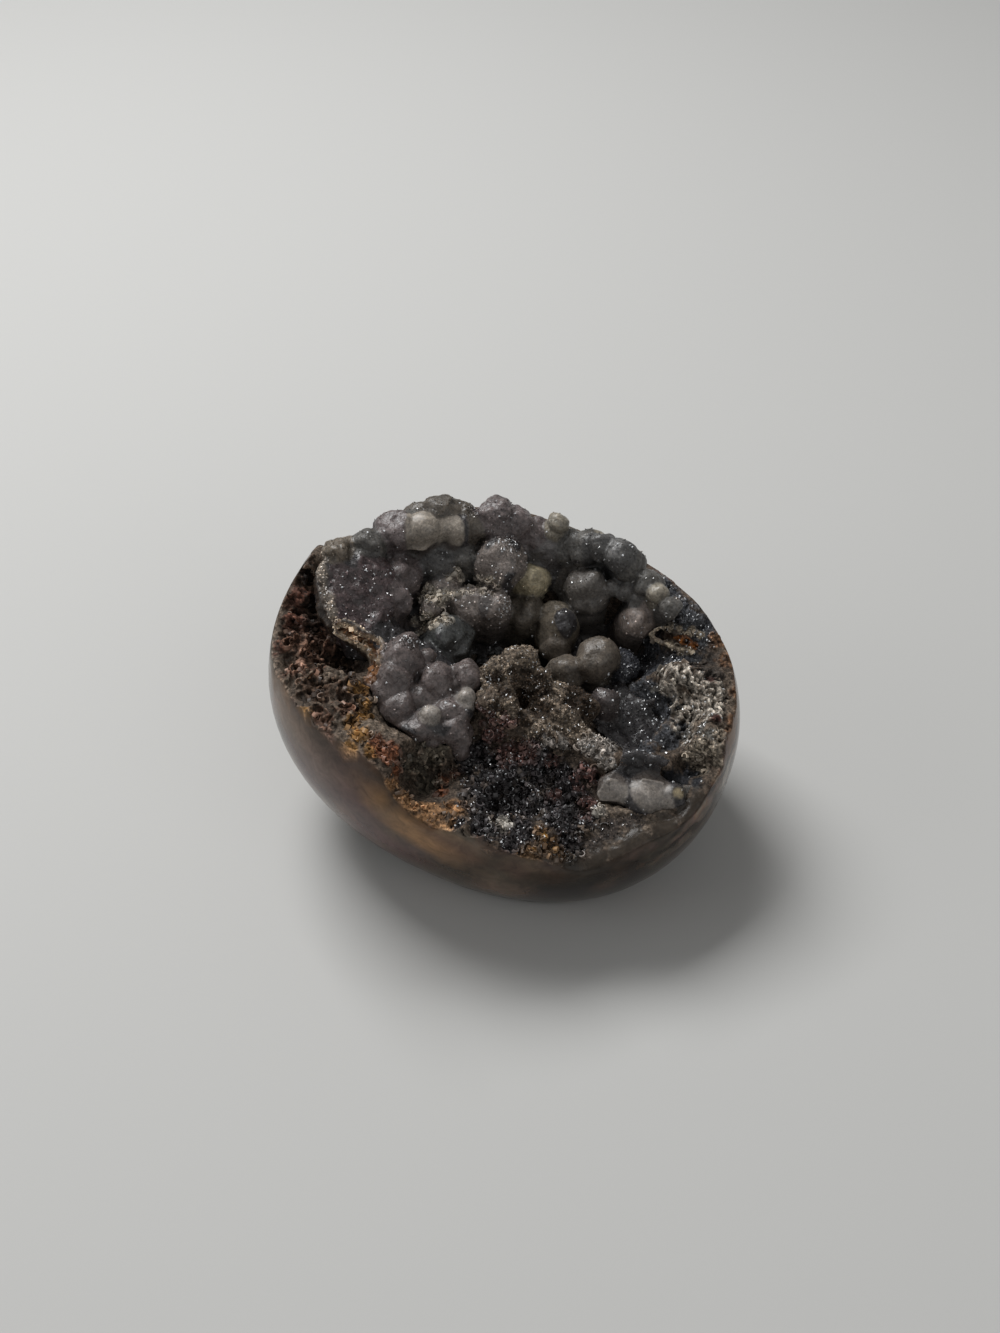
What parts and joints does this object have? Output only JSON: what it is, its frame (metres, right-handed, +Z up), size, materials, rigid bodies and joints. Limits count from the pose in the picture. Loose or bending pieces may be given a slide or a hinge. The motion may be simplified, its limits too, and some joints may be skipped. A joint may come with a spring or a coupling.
{
  "type": "grape agate sphere",
  "caption": "Polished egg-like ball of grape agate with a rough open face, a hollow lined with round chalcedony grapes, and a small flat to rest on.",
  "frame": {"origin": "on the resting flat, straight below the middle of the polished ball", "axes": "+Z up from the surface it rests on, +X along the ball's long way to the right of the open face, -Y toward the side that the open face leans to"},
  "size_m": [0.0602, 0.0515, 0.0388],
  "materials": {
    "polished_agate": "polished mauve to brown banded chalcedony skin, with a rough brown and grey matrix on the open face",
    "chalcedony_grapes": "translucent grey to purple chalcedony grapes under a glittering skin of fine quartz"
  },
  "bodies": {
    "root": {"agate_body": "polished_agate", "grape_crust": "chalcedony_grapes"}
  },
  "joints": []
}
